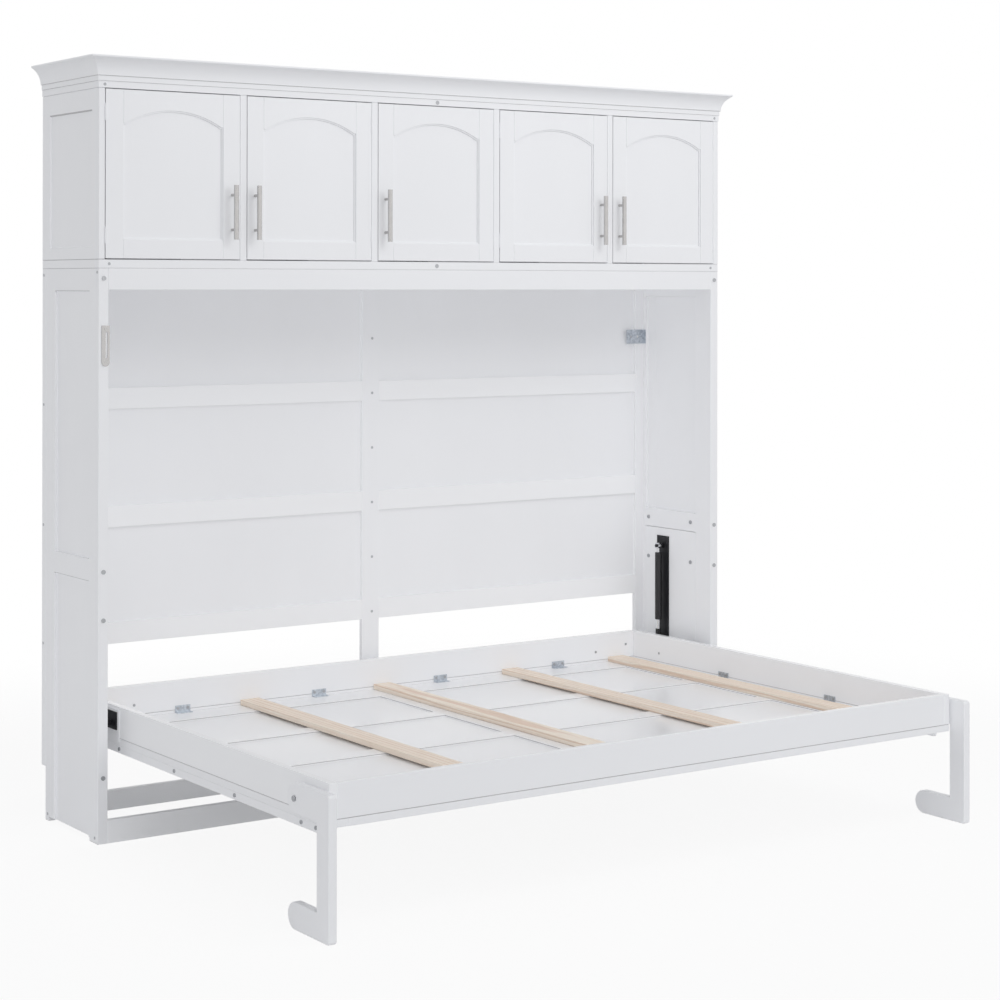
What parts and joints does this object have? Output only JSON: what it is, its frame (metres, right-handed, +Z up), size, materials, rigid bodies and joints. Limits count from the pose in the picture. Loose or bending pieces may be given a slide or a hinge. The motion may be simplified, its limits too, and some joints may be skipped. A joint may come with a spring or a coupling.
{
  "type": "wall bed with fold down desk",
  "caption": "White side-tilting wall bed with slats, legs and gas struts, a fold-down desk under its base, and arched cupboards with bar handles above.",
  "frame": {"origin": "floor level at the front face of the cabinet, in the middle of its width", "axes": "+X to the right seen from the front, +Y back into the cabinet, +Z up; drawn with the bed lowered"},
  "size_m": [2.21, 1.512, 2.097],
  "materials": {
    "white_paint": "white painted, satin",
    "pine": "bare planed pine",
    "white_cap": "white screw heads",
    "bolt_steel": "dull zinc",
    "galvanised": "galvanised",
    "brushed_nickel": "brushed nickel",
    "black_steel": "black powder coat",
    "chrome_rod": "polished"
  },
  "bodies": {
    "cabinet": {"side_frame_left": "white_paint", "side_frame_right": "white_paint", "side_panels": "white_paint", "mount_boards": "white_paint", "header_rail": "white_paint", "toe_rails": "white_paint", "back_posts": "white_paint", "back_rails": "white_paint", "back_panels": "white_paint", "cabinet_bolts": "bolt_steel", "cabinet_screws": "white_cap", "wall_brackets": "galvanised", "latch_plate": "brushed_nickel", "lift_plates": "black_steel", "hutch_side_left": "white_paint", "hutch_side_right": "white_paint", "hutch_bottom": "white_paint", "hutch_top": "white_paint", "hutch_back": "white_paint", "hutch_dividers": "white_paint", "crown": "white_paint", "hutch_hinges": "white_paint"},
    "door_1": {"door_1": "white_paint", "handle_1": "brushed_nickel", "door_hinges_1": "white_paint"},
    "door_2": {"door_2": "white_paint", "handle_2": "brushed_nickel", "door_hinges_2": "white_paint"},
    "door_3": {"door_3": "white_paint", "handle_3": "brushed_nickel", "door_hinges_3": "white_paint"},
    "door_4": {"door_4": "white_paint", "handle_4": "brushed_nickel", "door_hinges_4": "white_paint"},
    "door_5": {"door_5": "white_paint", "handle_5": "brushed_nickel", "door_hinges_5": "white_paint"},
    "bed": {"bed_base": "white_paint", "bed_rail_front": "white_paint", "bed_rail_rear": "white_paint", "bed_rail_left": "white_paint", "bed_rail_right": "white_paint", "slats": "pine", "bed_brackets": "galvanised", "runners": "white_paint", "pivot_pads": "white_paint", "bed_pivots": "black_steel", "bed_fixings": "bolt_steel", "leg_bolts": "bolt_steel", "desk_hinge_fixed": "brushed_nickel"},
    "leg_left": {"leg_left": "white_paint"},
    "leg_right": {"leg_right": "white_paint"},
    "strut_rod_left": {"strut_rod_left": "chrome_rod"},
    "strut_cylinder_left": {"strut_cylinder_left": "black_steel"},
    "gate_left": {"gate_left": "white_paint"},
    "strut_rod_right": {"strut_rod_right": "chrome_rod"},
    "strut_cylinder_right": {"strut_cylinder_right": "black_steel"},
    "gate_right": {"gate_right": "white_paint"},
    "desk": {"desk_top": "white_paint", "desk_hinge": "brushed_nickel"}
  },
  "joints": [
    {"name": "bed_fold", "type": "hinge", "parent": "cabinet", "child": "bed", "pos_m": [0, 0.074, 0.305], "axis": [-1, 0, 0], "range_deg": [0, 90]},
    {"name": "leg_left_swing", "type": "hinge", "parent": "bed", "child": "leg_left", "pos_m": [-1.0121, -0.979, 0.303], "axis": [1, 0, 0], "range_deg": [0, 90]},
    {"name": "leg_right_swing", "type": "hinge", "parent": "bed", "child": "leg_right", "pos_m": [1.0121, -0.979, 0.303], "axis": [1, 0, 0], "range_deg": [0, 90]},
    {"name": "strut_left_swing", "type": "hinge", "parent": "cabinet", "child": "strut_rod_left", "pos_m": [-1.02, 0.24, 0.636], "axis": [-1, 0, 0], "range_deg": [0, 21]},
    {"name": "strut_left_slide", "type": "slide", "parent": "strut_rod_left", "child": "strut_cylinder_left", "axis": [0, 0, -1], "range_m": [0, 0.18]},
    {"name": "strut_right_swing", "type": "hinge", "parent": "cabinet", "child": "strut_rod_right", "pos_m": [1.02, 0.24, 0.636], "axis": [-1, 0, 0], "range_deg": [0, 21]},
    {"name": "strut_right_slide", "type": "slide", "parent": "strut_rod_right", "child": "strut_cylinder_right", "axis": [0, 0, -1], "range_m": [0, 0.18]},
    {"name": "desk_fold", "type": "hinge", "parent": "bed", "child": "desk", "pos_m": [0, -0.361, 0.2452], "axis": [1, 0, 0], "range_deg": [0, 90]},
    {"name": "gate_left_swing", "type": "hinge", "parent": "bed", "child": "gate_left", "pos_m": [-0.52, -0.254, 0.2432], "axis": [0, 1, 0], "range_deg": [0, 90]},
    {"name": "gate_right_swing", "type": "hinge", "parent": "bed", "child": "gate_right", "pos_m": [0.52, -0.254, 0.2432], "axis": [0, -1, 0], "range_deg": [0, 90]},
    {"name": "door_1_swing", "type": "hinge", "parent": "cabinet", "child": "door_1", "pos_m": [-1.0511, -0.0028, 1.784], "axis": [0, 0, -1], "range_deg": [0, 85]},
    {"name": "door_2_swing", "type": "hinge", "parent": "cabinet", "child": "door_2", "pos_m": [-0.2233, -0.0028, 1.784], "axis": [0, 0, 1], "range_deg": [0, 85]},
    {"name": "door_3_swing", "type": "hinge", "parent": "cabinet", "child": "door_3", "pos_m": [0.2015, -0.0028, 1.784], "axis": [0, 0, 1], "range_deg": [0, 85]},
    {"name": "door_4_swing", "type": "hinge", "parent": "cabinet", "child": "door_4", "pos_m": [0.2233, -0.0028, 1.784], "axis": [0, 0, -1], "range_deg": [0, 85]},
    {"name": "door_5_swing", "type": "hinge", "parent": "cabinet", "child": "door_5", "pos_m": [1.0511, -0.0028, 1.784], "axis": [0, 0, 1], "range_deg": [0, 85]}
  ],
  "couplings": [
    {"joint": "leg_left_swing", "follows": "bed_fold", "ratio": 1},
    {"joint": "leg_right_swing", "follows": "bed_fold", "ratio": 1},
    {"joint": "strut_left_swing", "follows": "bed_fold", "ratio": 0.2291},
    {"joint": "strut_left_slide", "follows": "bed_fold", "m_per_rad": 0.11397},
    {"joint": "strut_right_swing", "follows": "bed_fold", "ratio": 0.2291},
    {"joint": "strut_right_slide", "follows": "bed_fold", "m_per_rad": 0.11397},
    {"joint": "desk_fold", "follows": "bed_fold", "ratio": 1},
    {"joint": "gate_left_swing", "follows": "bed_fold", "ratio": 1},
    {"joint": "gate_right_swing", "follows": "bed_fold", "ratio": 1}
  ]
}
